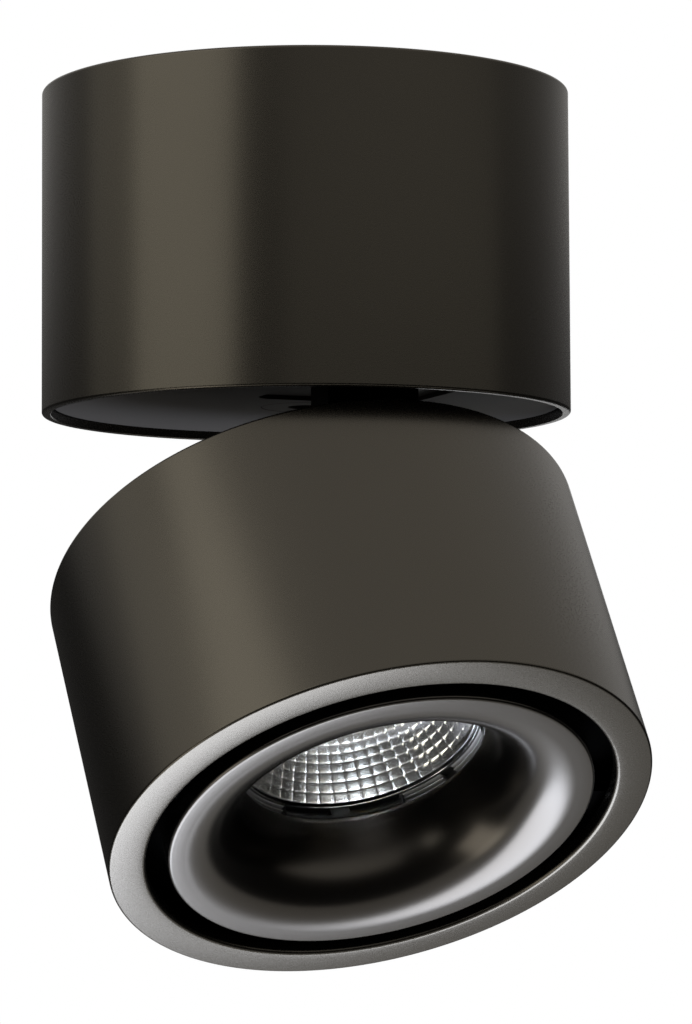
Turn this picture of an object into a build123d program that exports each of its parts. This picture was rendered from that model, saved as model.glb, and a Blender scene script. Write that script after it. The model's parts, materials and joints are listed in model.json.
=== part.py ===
from build123d import *
import os
from math import cos, radians, sin, sqrt

# Surface mounted ceiling spotlight: a round canopy under the ceiling, and a round lamp head that
# swivels below it on a hollow nipple and tilts on a goose-neck hinge.
# Millimetres. The origin is the centre of the face that meets the ceiling, and +Z is up. The hinge
# pin lies along X, and the head tilts towards -Y. The head is drawn straight down, with its back
# face under the canopy, and is tilted about the pin at the end.

# ---------------------------------------------------------------- driving dimensions
# Clearances
running_gap = 0.3        # between faces that pass each other
seat_gap = 0.1           # between flat faces that bear on each other
fit_gap = 0.05           # radial, between a shaft or a screw and its hole

# Canopy
canopy_radius = 50.0
canopy_height = 61.4
canopy_wall = 1.75
canopy_edge = 0.5        # rounding of its outer edges
ledge_width = 5.0        # inner ledge that hooks over the ceiling plate's feet
ledge_thickness = 2.0
ledge_drop = 0.6         # from the plate's underside down to the ledge
boss_radius = 3.6        # bosses that carry the bearing plate
boss_length = 8.0
boss_embed = 0.6         # how far a boss stands in the wall
boss_angles = (30.0, 150.0, 270.0)

# Ceiling plate
plate_thickness = 2.0
plate_gap = 0.4          # from the plate's edge to the ledge
tab_angles = (30.0, 150.0, 270.0)
tab_width = 10.0
tab_thickness = 2.0
tab_reach = 3.0          # how far a foot reaches under the ledge
notch_spare = 1.5        # each side of a foot, in the ledge's notches
twist_angle = 24.0       # from the notches to the feet when the canopy is locked
lock_drop = 10.0         # from the ceiling to the locking screw
lock_lug_length = 14.0   # of the lug that the locking screw bears on
slot_spacing = 60.0      # between the two ceiling screws
slot_length = 12.0
slot_radius = 2.25
entry_radius = 7.0       # the hole for the cable
entry_clear = 2.85       # from the lug to the grommet's lip
grommet_bore = 4.5
grommet_lip = 2.0

# Locking screw of the canopy
lock_radius = 2.0
lock_length = 6.0
lock_boss_radius = 4.0
lock_boss_length = 3.0

# Driver and terminal block, both under the ceiling plate
driver_length = 44.0
driver_width = 28.0
driver_height = 20.0
driver_wall = 1.5
driver_clear = 0.77      # from the plate's edge to the driver's corners
driver_round = 2.0
lid_thickness = 1.5
ear_length = 8.0
terminal_length = 30.0
terminal_width = 11.0
terminal_height = 13.0
terminal_clear = 2.5     # from the grommet's lip to the block
terminal_ways = 3
terminal_foot = 3.0      # height of the block's base
terminal_slit = 2.0      # between two ways
terminal_bore = 1.9      # radius of a way's wire hole
terminal_wire = 7.0      # from the plate down to the wire holes
terminal_screw_depth = 3.5
earth_x = -24.0
earth_y = 20.0

# Swivel
disc_recess = 1.6        # from the canopy's rim up to the disc's face
disc_thickness = 3.0
disc_edge = 0.4
glide_thickness = 0.6
glide_radius = 20.0
glide_bore = 12.0
bearing_thickness = 2.5
nipple_radius = 5.0
nipple_bore = 3.5
nipple_flange = 8.5
flange_thickness = 1.2
nipple_spare = 1.5       # thread above the nut
wave_thickness = 1.0
wave_radius = 10.0
stop_thickness = 1.2
nut_width = 14.0         # across flats
nut_height = 4.0
peg_circle = 22.0
peg_radius = 1.25
stop_tab_width = 3.0
stop_tab_reach = 2.0     # past the peg's centre

# Goose-neck hinge
closed_gap = 4.0         # between the canopy and the head when the head points straight down
pin_inset = 6.97         # from the head's side to the pin
pin_drop = 7.24          # from the head's back face to the pin
pin_radius = 1.5
pin_head_radius = 2.4
pin_head_height = 1.0
barrel_radius = 3.0
barrel_width = 14.0
leg_reach = 15.83        # from the pin to the middle of the arm's leg
leg_width = 18.0
leg_thickness = 8.0
leg_edge = 1.0
elbow_outer = 8.5
elbow_inner = 3.5
shoulder = 0.4           # from the leg to the narrow part of the arm
seat_width = 30.6        # shallow seat for the arm in the disc
seat_back = 16.8         # from the leg's middle towards the disc's centre
seat_front = 13.5
seat_depth = 0.8
seat_round = 3.5
arm_screw_spacing = 10.0
arm_screw_bite = 7.0
ear_radius = 3.3
ear_thickness = 2.5
washer_thickness = 0.5
washer_radius = 2.9
rest_tilt = 33.0
slot_step = 3.8          # from the leg to where the cap's slot narrows

# Lamp head
head_radius = 50.3
head_wall = 2.0
back_edge = 0.6
rim_width = 6.9
rim_thickness = 2.6
rim_outer_edge = 0.5
rim_inner_edge = 2.0
cap_thickness = 2.5
rib_radius = 3.4         # ribs in the shell that carry the cap and the heat sink
rib_embed = 0.7
rib_angles = (90.0, 210.0, 330.0)
cap_screw_bite = 4.0

# Heat sink
pocket_clear = 2.06      # under the arm's elbow
pocket_spare = 1.0       # round the hinge
cap_clear = 0.5          # between the cap and the fins
base_thickness = 3.7
fin_thickness = 1.6
fin_pitch = 6.0
sink_bite = 3.0          # how deep a screw goes into the heat sink's base, or past it into a rib

# Light source
board_side = 23.0
pad_thickness = 0.4
board_thickness = 1.0
emitter_radius = 6.5
emitter_height = 0.5
holder_radius = 19.0
holder_screw_circle = 16.2
holder_screw_angles = (0.0, 180.0)

# Reflector, cover and their barrel
optic_gap = 0.2          # from the emitter to the reflector
optic_radius = 22.1      # the reflector's mouth
optic_depth = 19.8
optic_base = 7.0         # the reflector's small end
optic_wall = 1.2
facet_count = 52         # round the bowl
facet_rows = 9           # from its base to its mouth
optic_flange = 3.2
flange_height = 1.0
cover_flange = 0.8
cover_height = 1.5
barrel_wall = 2.2
barrel_step = 1.3        # inner step that carries the reflector
barrel_foot = 5.2
foot_thickness = 1.6
retainer_height = 2.7
bayonet_height = 1.5
bayonet_depth = 1.4
bayonet_cover = 0.7      # thickness left in front of the bayonet slots
bayonet_angles = ((51.2, 75.4), (84.6, 108.8))
bayonet_groups = 3
throat_spare = 0.8       # from the reflector's mouth to the retainer's bore

# Baffle
groove_width = 3.85      # between the head's rim and the baffle
lip_flat = 3.55
lip_edge = 0.8
bell_depth = 10.0        # of the rounded part
baffle_depth = 16.6
sheet = 1.2
skirt_depth = 9.9        # of the baffle's outer wall
carrier_thickness = 2.0
carrier_overlap = 2.0    # under the skirt's edge
standoff_radius = 2.4
standoff_angles = (30.0, 150.0, 270.0)
clip_angles = (0.0, 180.0)
clip_width = 7.4
clip_height = 5.0
clip_depth = 1.6
clip_under_rim = 1.5     # how far a clip's holder reaches behind the rim
clip_spring_radius = 0.6
clip_spring_length = 5.0

# Screws: thread radius, head radius, head height
small_screw = (1.25, 2.3, 1.6)
medium_screw = (1.5, 2.8, 2.0)
large_screw = (2.0, 3.8, 2.6)
screw_bite = 6.0         # how deep a screw goes into what it holds
socket_share = 0.5       # a socket's depth and width over its head's
quarter_turn = 90
half_turn = 180

# ---------------------------------------------------------------- places worked out from them
canopy_inner = canopy_radius - canopy_wall
rim_z = -canopy_height
ledge_inner = canopy_inner - ledge_width
ledge_top = -plate_thickness - ledge_drop
ledge_bottom = ledge_top - ledge_thickness
plate_radius = ledge_inner - plate_gap
boss_circle = canopy_inner + boss_embed - boss_radius
entry_y = plate_radius - tab_thickness - entry_clear - grommet_lip - entry_radius
terminal_y = entry_y - entry_radius - grommet_lip - terminal_clear - terminal_width / 2
driver_far = driver_clear - sqrt(plate_radius ** 2 - (driver_length / 2) ** 2)
driver_y = driver_far + driver_width / 2

disc_bottom = rim_z + disc_recess
disc_top = disc_bottom + disc_thickness
glide_top = disc_top + glide_thickness
bearing_bottom = glide_top + seat_gap
bearing_top = bearing_bottom + bearing_thickness
wave_bottom = bearing_top + seat_gap
wave_top = wave_bottom + wave_thickness
stop_top = wave_top + stop_thickness
nut_top = stop_top + nut_height

head_back = rim_z - closed_gap
head_inner = head_radius - head_wall
pin_u = head_radius - pin_inset
pin_z = head_back - pin_drop
leg_u = pin_u - leg_reach
leg_back = leg_u - leg_thickness / 2
leg_front = leg_u + leg_thickness / 2
arm_top = disc_bottom + seat_depth
rib_circle = head_inner + rib_embed - rib_radius
ear_inner = barrel_width / 2 + 2 * fit_gap + washer_thickness
ear_outer = ear_inner + ear_thickness

# Depths in the head, from its back face to its front
sink_top = pin_drop + barrel_radius + pocket_clear
fin_top = cap_thickness + cap_clear
sink_bottom = sink_top + base_thickness
board_back = sink_bottom + pad_thickness
board_front = board_back + board_thickness
emitter_front = board_front + emitter_height
optic_back = emitter_front + optic_gap
optic_front = optic_back + optic_depth
cover_back = optic_front + seat_gap
cover_front = cover_back + cover_height
retainer_back = cover_back + cover_flange + seat_gap
retainer_front = retainer_back + retainer_height
throat_back = retainer_front + seat_gap
head_length = throat_back + baffle_depth

optic_flange_radius = optic_radius + optic_flange
throat_radius = optic_radius + throat_spare
barrel_bore = optic_flange_radius + 2 * seat_gap
barrel_outer = barrel_bore + barrel_wall
rim_inner = head_radius - rim_width
baffle_radius = rim_inner - groove_width
bell_radius = baffle_radius - lip_flat
carrier_front = head_length - skirt_depth - seat_gap
carrier_back = carrier_front - carrier_thickness
carrier_bore = baffle_radius - carrier_overlap
standoff_circle = head_inner - standoff_radius - 2 * running_gap
barrel_screw_circle = barrel_outer + barrel_foot / 2

bottom_align = (Align.CENTER, Align.CENTER, Align.MIN)
corner_align = (Align.MIN, Align.MIN, Align.MIN)
side_plane = Plane(origin=(0, 0, 0), x_dir=(0, -1, 0), z_dir=(-1, 0, 0))


# ---------------------------------------------------------------- small helpers
def disc(radius, low, high):
    return Pos(0, 0, low) * Cylinder(radius, high - low, align=bottom_align)


def ring(outer, inner, low, high):
    return disc(outer, low, high) - disc(inner, low, high)


def block(x0, x1, y0, y1, z0, z1):
    return Pos(x0, y0, z0) * Box(x1 - x0, y1 - y0, z1 - z0, align=corner_align)


def lathe(points):
    """A solid of revolution from (radius, z) points."""
    return revolve(make_face(Plane.XZ * Polyline(*points, close=True)), Axis.Z)


def sector(outer, inner, low, high, width):
    """A piece of a ring of the given width, in the +X direction."""
    return ring(outer, inner, low, high) & block(0, outer, -width / 2, width / 2, low, high)


def cross_pin(radius, half_length, z=0.0, u=0.0):
    """A round bar along X, centred at (0, -u, z)."""
    return Pos(0, -u, z) * Rot(0, quarter_turn, 0) * Cylinder(radius, 2 * half_length)


def around(shape, radius, angles):
    """Copies of a shape, turned and set out on a circle."""
    return [Rot(0, 0, angle) * Pos(radius, 0, 0) * shape for angle in angles]


def round_circles(shape, radius, z, amount):
    """Rounds the circular edges of one radius at one height."""
    edges = shape.edges().filter_by(GeomType.CIRCLE)
    edges = edges.filter_by(lambda e: abs(e.radius - radius) < 1e-4 and abs(e.arc_center.Z - z) < 1e-4)
    return fillet(edges, amount)


def depth(distance):
    """The height of a place in the head, from its distance to the back face."""
    return head_back - distance


def pan_screw(size, length):
    """A screw whose head stands on z = 0 and whose thread points down."""
    radius, head, height = size
    socket = hexagon(head * socket_share, height * socket_share)
    body = disc(head, 0, height) + disc(radius, -length, 0)
    return body - Pos(0, 0, height * (1 - socket_share)) * socket


def flat_screw(size, length):
    """A countersunk screw whose head is flush with z = 0."""
    radius, head, height = size
    cone = lathe([(0, 0), (head, 0), (radius, radius - head), (radius, -length), (0, -length)])
    socket = hexagon(head * socket_share, height * socket_share)
    return cone - Pos(0, 0, -height * socket_share) * socket


def flat_screw_hole(size, length):
    """The countersunk hole for it."""
    radius, head, _ = size
    wide = head + fit_gap
    narrow = radius + fit_gap
    return lathe([(0, 0), (wide, 0), (narrow, narrow - wide), (narrow, -length), (0, -length)])


def screw_bore(size, low, high):
    """A round hole for a screw's thread."""
    return disc(size[0] + fit_gap, low, high)


def driven_up(height, screw):
    """A screw, or its hole, turned over so that it goes up into a face at this height."""
    return Pos(0, 0, height) * Rot(half_turn, 0, 0) * screw


def hexagon(radius, height):
    return extrude(RegularPolygon(radius, 6), height)


def tilted(shape):
    """Swings a piece of the head about the hinge pin to where it rests."""
    to_pin = Pos(0, -pin_u, pin_z)
    return to_pin * Rot(-rest_tilt, 0, 0) * to_pin.inverse() * shape


def save(node, shapes, place=lambda shape: shape):
    """Writes one sub-part; a list is written as a group of separate solids."""
    shapes = shapes if isinstance(shapes, list) else [shapes]
    solids = [solid for shape in shapes for solid in place(shape).solids()]
    export_step(solids[0] if len(solids) == 1 else Compound(solids), f"parts/{node}.step")


# ---------------------------------------------------------------- canopy
def ceiling_plate():
    """A flat disc with three feet for the canopy's ledge and a long lug for its locking screw."""
    foot_high = ledge_bottom - seat_gap
    foot_low = foot_high - tab_thickness
    leg_inner = plate_radius - tab_thickness
    foot = sector(plate_radius, leg_inner, foot_low, 0, tab_width)
    foot += sector(ledge_inner + tab_reach, leg_inner, foot_low, foot_high, tab_width)
    lug = sector(plate_radius, leg_inner, -lock_lug_length, 0, tab_width)
    plate = disc(plate_radius, -plate_thickness, 0)
    plate += around(foot, 0, tab_angles)
    plate += around(lug, 0, [quarter_turn])
    slot = extrude(SlotOverall(slot_length, 2 * slot_radius), plate_thickness, both=True)
    plate -= [Pos(side * slot_spacing / 2, 0, 0) * slot for side in (-1, 1)]
    plate -= Pos(0, entry_y, 0) * disc(entry_radius, -plate_thickness, 0)
    plate -= [place * screw_bore(medium_screw, -plate_thickness, 0) for place in driver_screw_places()]
    return plate - Pos(earth_x, earth_y, 0) * screw_bore(large_screw, -plate_thickness, 0)


def cable_grommet():
    lip_high = -plate_thickness - seat_gap
    lip_low = lip_high - grommet_lip
    body = disc(entry_radius - fit_gap, lip_low, 0) + disc(entry_radius + grommet_lip, lip_low, lip_high)
    return Pos(0, entry_y, 0) * (body - disc(grommet_bore, lip_low, 0))


def lock_place(shape):
    """Puts a shape that points along +Z at the locking screw, pointing out of the canopy."""
    return Pos(0, 0, -lock_drop) * Rot(-quarter_turn, 0, 0) * shape


def canopy_shell():
    """The round wall, with its ledge at the top and the bosses for the bearing plate at the foot."""
    shell = lathe([
        (canopy_radius, 0),
        (canopy_radius, rim_z),
        (canopy_inner, rim_z),
        (canopy_inner, ledge_bottom),
        (ledge_inner, ledge_bottom),
        (ledge_inner, ledge_top),
        (canopy_inner, ledge_top),
        (canopy_inner, 0),
    ])
    shell = round_circles(shell, canopy_radius, rim_z, canopy_edge)
    shell = round_circles(shell, canopy_radius, 0, canopy_edge)
    boss = disc(boss_radius, bearing_top, bearing_top + boss_length)
    boss -= screw_bore(small_screw, bearing_top, bearing_top + screw_bite)
    shell += around(boss, boss_circle, boss_angles)
    half_wall = canopy_radius - canopy_wall / 2
    lock_boss = lock_place(disc(lock_boss_radius, canopy_inner - lock_boss_length, canopy_radius))
    shell += lock_boss & disc(half_wall, rim_z, 0)
    shell -= lock_place(disc(lock_radius + fit_gap, 0, canopy_radius))
    notch_width = tab_width + 2 * notch_spare
    notch = sector(ledge_inner + tab_reach + notch_spare, 0, ledge_bottom, ledge_top, notch_width)
    shell -= around(notch, 0, [angle + twist_angle for angle in tab_angles])
    return shell


def canopy_lock_screw():
    """A grub screw through the canopy's wall, which bears on the plate's long lug."""
    tip = plate_radius + seat_gap
    end = tip + lock_length
    socket = hexagon(lock_radius * socket_share, lock_length)
    return lock_place(disc(lock_radius, tip, end) - Pos(0, 0, end - lock_length * socket_share) * socket)


def driver_screw_places():
    x = driver_length / 2 + ear_length / 2
    return [Pos(side * x, driver_y, 0) for side in (-1, 1)]


def driver_outline(inset, low, high):
    """A block on the driver's outline, drawn in by an inset."""
    half_length = driver_length / 2 - inset
    half_width = driver_width / 2 - inset
    outline = block(-half_length, half_length, driver_y - half_width, driver_y + half_width, low, high)
    return fillet(outline.edges().filter_by(Axis.Z), driver_round)


def driver_case():
    """An open box under the plate, with an ear at each end."""
    top = -plate_thickness
    case = driver_outline(0, top - driver_height, top)
    case -= driver_outline(driver_wall, top - driver_height, top - driver_wall)
    reach = driver_length / 2 + ear_length
    half_ear = ear_length / 2
    ears = block(-reach, reach, driver_y - half_ear, driver_y + half_ear, top - driver_wall, top)
    hole = screw_bore(medium_screw, top - driver_wall, top)
    return case + ears - [place * hole for place in driver_screw_places()]


def driver_lid():
    """A flat lid with a lip that stands in the case."""
    case_low = -plate_thickness - driver_height
    lid = driver_outline(0, case_low - lid_thickness, case_low)
    return lid + driver_outline(driver_wall + seat_gap, case_low, case_low + lid_thickness)


def driver_screws():
    screw = driven_up(-plate_thickness - driver_wall, pan_screw(medium_screw, plate_thickness))
    return [place * screw for place in driver_screw_places()]


def terminal_places():
    pitch = terminal_length / terminal_ways
    return [(way + 1 / 2) * pitch - terminal_length / 2 for way in range(terminal_ways)]


def terminal_block():
    """A row of terminals: a flat foot with one hump for each way, each with its wire hole."""
    top = -plate_thickness
    low = top - terminal_height
    y0 = terminal_y - terminal_width / 2
    y1 = terminal_y + terminal_width / 2
    half = terminal_length / 2
    body = block(-half, half, y0, y1, top - terminal_foot, top)
    hump_half = (terminal_length / terminal_ways - terminal_slit) / 2
    for x in terminal_places():
        body += block(x - hump_half, x + hump_half, y0, y1, low, top - terminal_foot)
    for x in terminal_places():
        wire_hole = Rot(quarter_turn, 0, 0) * Cylinder(terminal_bore, terminal_width)
        body -= Pos(x, terminal_y, top - terminal_wire) * wire_hole
        for y in terminal_screw_rows():
            body -= Pos(x, y, low) * screw_bore(small_screw, 0, terminal_screw_depth)
    return body


def terminal_screw_rows():
    return [terminal_y - terminal_width / 4, terminal_y + terminal_width / 4]


def terminal_screws():
    """Clamp screws, sunk in the humps' lower faces."""
    low = -plate_thickness - terminal_height
    screw = disc(small_screw[0], low + seat_gap, low + terminal_screw_depth)
    return [Pos(x, y, 0) * screw for x in terminal_places() for y in terminal_screw_rows()]


def earth_screw():
    return Pos(earth_x, earth_y, 0) * driven_up(-plate_thickness, pan_screw(large_screw, plate_thickness))


def bearing_plate():
    """The fixed floor that the swivel hangs from."""
    plate = ring(canopy_inner - seat_gap, nipple_radius + fit_gap, bearing_bottom, bearing_top)
    hole = driven_up(bearing_bottom, flat_screw_hole(small_screw, bearing_thickness))
    plate -= around(hole, boss_circle, boss_angles)
    return plate - Pos(0, -peg_circle, 0) * disc(peg_radius + fit_gap, bearing_bottom, bearing_top)


def bearing_screws():
    screw = driven_up(bearing_bottom, flat_screw(small_screw, bearing_thickness + screw_bite))
    return around(screw, boss_circle, boss_angles)


def stop_peg():
    return Pos(0, -peg_circle, 0) * disc(peg_radius, bearing_bottom, stop_top)


# ---------------------------------------------------------------- swivel
def arm_screw_places():
    return [Pos(side * arm_screw_spacing / 2, -leg_u, 0) for side in (-1, 1)]


def swivel_disc():
    """The turning floor of the canopy, with the arm's shallow seat in its face."""
    plate = disc(canopy_inner - running_gap, disc_bottom, disc_top)
    plate = round_circles(plate, canopy_inner - running_gap, disc_bottom, disc_edge)
    seat = extrude(RectangleRounded(seat_width, seat_back + seat_front, seat_round), seat_depth)
    plate -= Pos(0, (seat_back - seat_front) / 2 - leg_u, disc_bottom) * seat
    plate -= disc(nipple_radius + fit_gap, disc_bottom, disc_top)
    plate -= disc(nipple_flange + seat_gap, disc_bottom, disc_bottom + flange_thickness)
    hole = Pos(0, 0, disc_top) * flat_screw_hole(medium_screw, disc_thickness)
    return plate - [place * hole for place in arm_screw_places()]


def glide_ring():
    return ring(glide_radius, glide_bore, disc_top, glide_top)


def swivel_nipple():
    """A hollow threaded tube with a flange, which the wires to the head run through."""
    tube = disc(nipple_radius, disc_bottom, nut_top + nipple_spare)
    tube += disc(nipple_flange, disc_bottom, disc_bottom + flange_thickness)
    return tube - disc(nipple_bore, disc_bottom, nut_top + nipple_spare)


def wave_washer():
    return ring(wave_radius, nipple_radius + fit_gap, wave_bottom, wave_top)


def stop_washer():
    """A washer whose tab meets the peg at either end of the swivel."""
    washer = disc(wave_radius, wave_top, stop_top)
    reach = peg_circle + stop_tab_reach
    washer += block(-stop_tab_width / 2, stop_tab_width / 2, 0, reach, wave_top, stop_top)
    return washer - disc(nipple_radius + fit_gap, wave_top, stop_top)


def nipple_nut():
    nut = extrude(RegularPolygon(nut_width / 2, 6, major_radius=False), nut_height)
    return Pos(0, 0, stop_top) * nut - disc(nipple_radius + fit_gap, stop_top, nut_top)


def side_rectangle(u0, u1, z0, z1):
    """A rectangle in the hinge's side view, where u runs towards -Y."""
    return Pos((u0 + u1) / 2, (z0 + z1) / 2) * Rectangle(u1 - u0, z1 - z0)


def hinge_arm():
    """The goose-neck: a wide leg under the disc, an elbow, and a narrow toe round the pin."""
    low = pin_z - barrel_radius
    leg = side_rectangle(leg_back, leg_front, low, arm_top)
    toe = side_rectangle(leg_front, pin_u, low, pin_z + barrel_radius)
    outline = leg + toe
    heel = outline.vertices().sort_by_distance((leg_back, low, 0))[0]
    outline = fillet(heel, elbow_outer)
    crook = outline.vertices().sort_by_distance((leg_front, pin_z + barrel_radius, 0))[0]
    outline = fillet(crook, elbow_inner) + Pos(pin_u, pin_z) * Circle(barrel_radius)
    arm = extrude(side_plane * outline, leg_width / 2, both=True)
    narrow = leg_front + shoulder
    for side in (-1, 1):
        inner, outer = sorted((side * barrel_width / 2, side * leg_width))
        arm -= block(inner, outer, -pin_u - 2 * barrel_radius, -narrow, low, arm_top)
    beside_toe = barrel_width / 2 + fit_gap
    uprights = arm.edges().filter_by(Axis.Z).filter_by(lambda e: abs(e.center().X) > beside_toe)
    arm = fillet(uprights, leg_edge)
    arm -= cross_pin(pin_radius + fit_gap, leg_width, pin_z, pin_u)
    bite = screw_bore(medium_screw, arm_top - arm_screw_bite, arm_top)
    return arm - [place * bite for place in arm_screw_places()]


def arm_screws():
    length = disc_top - arm_top + arm_screw_bite
    screw = Pos(0, 0, disc_top) * flat_screw(medium_screw, length)
    return [place * screw for place in arm_screw_places()]


# ---------------------------------------------------------------- lamp head
def head_shell():
    """The round wall with a flat front rim, and the ribs that the cap and heat sink are screwed to."""
    front = depth(head_length)
    shell = lathe([
        (head_radius, head_back),
        (head_radius, front),
        (rim_inner, front),
        (rim_inner, front + rim_thickness),
        (head_inner, front + rim_thickness),
        (head_inner, head_back),
    ])
    shell = round_circles(shell, head_radius, head_back, back_edge)
    shell = round_circles(shell, head_radius, front, rim_outer_edge)
    shell = round_circles(shell, rim_inner, front, rim_inner_edge)
    rib = disc(rib_radius, depth(sink_top), depth(cap_thickness))
    rib -= screw_bore(small_screw, depth(sink_top), depth(cap_thickness))
    return shell + around(rib, rib_circle, rib_angles)


def hinge_slot():
    """The slot in the cap: wide for the arm's leg, narrow for its toe."""
    low = depth(cap_thickness)
    far = leg_back - running_gap
    near = pin_u + barrel_radius + running_gap
    wide = leg_width / 2 + 2 * running_gap
    narrow = ear_inner
    step = leg_front + slot_step
    slot = block(-wide, wide, -step, -far, low, head_back)
    return slot + block(-narrow, narrow, -near, -step, low, head_back)


def back_cap():
    """The head's back plate, with the slot for the arm and two ears that hold the pin."""
    cap = disc(head_inner - seat_gap, depth(cap_thickness), head_back) - hinge_slot()
    ear = side_rectangle(pin_u - ear_radius, pin_u + ear_radius, pin_z, depth(cap_thickness))
    ear += Pos(pin_u, pin_z) * Circle(ear_radius)
    ear = extrude(side_plane * ear, ear_thickness / 2, both=True)
    cap += [Pos(side * (ear_inner + ear_outer) / 2, 0, 0) * ear for side in (-1, 1)]
    cap -= cross_pin(pin_radius + fit_gap, head_radius, pin_z, pin_u)
    hole = Pos(0, 0, head_back) * flat_screw_hole(small_screw, cap_thickness)
    return cap - around(hole, rib_circle, rib_angles)


def cap_screws():
    screw = Pos(0, 0, head_back) * flat_screw(small_screw, cap_thickness + cap_screw_bite)
    return around(screw, rib_circle, rib_angles)


def hinge_pin():
    """A plain pin, riveted over at both ends."""
    half = ear_outer + fit_gap
    pin = cross_pin(pin_radius, half, pin_z, pin_u)
    head = cross_pin(pin_head_radius, pin_head_height / 2, pin_z, pin_u)
    return pin + [Pos(side * (half + pin_head_height / 2), 0, 0) * head for side in (-1, 1)]


def hinge_washers():
    """The spring washers between the arm and the ears, which hold the tilt by friction."""
    bar = cross_pin(washer_radius, washer_thickness / 2, pin_z, pin_u)
    bar -= cross_pin(pin_radius + fit_gap, washer_thickness, pin_z, pin_u)
    middle = ear_inner - fit_gap - washer_thickness / 2
    return [Pos(side * middle, 0, 0) * bar for side in (-1, 1)]


def heat_sink():
    """A round base with straight fins, cut away round the hinge."""
    base = disc(head_inner - running_gap, depth(sink_bottom), depth(sink_top))
    fin_field = rib_circle - rib_radius - running_gap
    count = int(fin_field / fin_pitch)
    high = depth(fin_top)
    fins = [
        block(x - fin_thickness / 2, x + fin_thickness / 2, -fin_field, fin_field, depth(sink_top), high)
        for x in [fin_pitch * step for step in range(-count, count + 1)]
    ]
    half = ear_outer + pin_head_height + pocket_spare
    pocket = block(-half, half, -head_radius, pocket_spare - leg_back, depth(sink_top), high)
    sink = base + [fin & disc(fin_field, depth(sink_top), high) for fin in fins] - pocket
    through = screw_bore(small_screw, depth(sink_bottom), depth(sink_top))
    sink -= around(through, rib_circle, rib_angles)
    blind = screw_bore(small_screw, depth(sink_bottom), depth(sink_bottom - sink_bite))
    sink -= around(blind, barrel_screw_circle, standoff_angles)
    sink -= around(blind, standoff_circle, standoff_angles)
    return sink - around(blind, holder_screw_circle, holder_screw_angles)


def sink_screws():
    screw = driven_up(depth(sink_bottom), pan_screw(small_screw, base_thickness + sink_bite))
    return around(screw, rib_circle, rib_angles)


def board_square(side, back, front):
    half = side / 2
    return block(-half, half, -half, half, depth(front), depth(back))


def thermal_pad():
    return board_square(board_side, sink_bottom, board_back)


def cob_board():
    return board_square(board_side, board_back, board_front)


def cob_emitter():
    return disc(emitter_radius, depth(emitter_front), depth(board_front))


def cob_holder():
    """A round clamp over the board, with a hole for its light."""
    front = optic_back - seat_gap
    holder = ring(holder_radius, optic_base, depth(front), depth(sink_bottom))
    holder -= board_square(board_side + 2 * seat_gap, sink_bottom, board_front)
    hole = screw_bore(small_screw, depth(front), depth(sink_bottom))
    return holder - around(hole, holder_screw_circle, holder_screw_angles)


def cob_screws():
    front = optic_back - seat_gap
    length = front - sink_bottom + sink_bite
    screw = driven_up(depth(front), pan_screw(small_screw, length))
    return around(screw, holder_screw_circle, holder_screw_angles)


def lens_barrel():
    """The round housing of the reflector, with a foot on the heat sink and a step for the flange."""
    step = depth(optic_front - flange_height - seat_gap)
    back = depth(sink_bottom)
    foot_front = depth(sink_bottom + foot_thickness)
    narrow = barrel_bore - barrel_step
    barrel = ring(barrel_outer, narrow, step, back)
    barrel += ring(barrel_outer, barrel_bore, depth(retainer_front), step)
    barrel += ring(barrel_outer + barrel_foot, narrow, foot_front, back)
    hole = screw_bore(small_screw, foot_front, back)
    return barrel - around(hole, barrel_screw_circle, standoff_angles)


def barrel_screws():
    length = foot_thickness + sink_bite
    screw = driven_up(depth(sink_bottom + foot_thickness), pan_screw(small_screw, length))
    return around(screw, barrel_screw_circle, standoff_angles)


def facet_rings():
    """The rings between the rows of facets, as (distance, radius), evenly spaced along the radius."""
    rise = (optic_radius ** 2 - optic_base ** 2) / optic_depth
    step = (optic_radius - optic_base) / facet_rows
    radii = [optic_base + step * row for row in range(facet_rows + 1)]
    return [((radius ** 2 - optic_base ** 2) / rise, radius) for radius in radii]


def reflector():
    """A bowl of flat facets: ruled bands between many-sided rings that lie on a parabola."""
    rings = facet_rings()
    wires = [
        Pos(0, 0, depth(optic_back + distance)) * RegularPolygon(radius, facet_count).wire()
        for distance, radius in rings
    ]
    bowl = Solid.make_loft(wires, ruled=True)
    flange_back = depth(optic_front - flange_height)
    outside = [(radius + optic_wall, depth(optic_back + distance)) for distance, radius in rings]
    skin = lathe([(0, depth(optic_back)), *outside, (0, depth(optic_front))])
    skin += disc(optic_flange_radius, depth(optic_front), flange_back)
    return skin - bowl


def cover_lens():
    """A clear cover: a flange that the retainer holds, and a raised disc in the retainer's bore."""
    cover = disc(optic_flange_radius, depth(cover_back + cover_flange), depth(cover_back))
    return cover + disc(throat_radius - 2 * seat_gap, depth(cover_front), depth(cover_back))


def lens_retainer():
    """The ring over the cover's flange, with pairs of bayonet slots in its bore."""
    retainer = ring(barrel_bore - seat_gap, throat_radius, depth(retainer_front), depth(retainer_back))
    slot_front = retainer_front - bayonet_cover
    slot_back = slot_front - bayonet_height
    slot_ring = ring(throat_radius + bayonet_depth, 0, depth(slot_front), depth(slot_back))
    for group in range(bayonet_groups):
        for start, end in bayonet_angles:
            turn = group * 360 / bayonet_groups
            retainer -= slot_ring & wedge(start + turn, end + turn, slot_back, slot_front)
    return retainer


def wedge(start, end, back, front):
    """A sector of a round bar, between two angles."""
    reach = 2 * barrel_outer
    corners = [(0, 0)] + [
        (reach * cos(radians(angle)), reach * sin(radians(angle))) for angle in (start, end)
    ]
    return Pos(0, 0, depth(front)) * extrude(make_face(Polyline(*corners, close=True)), front - back)


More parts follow.
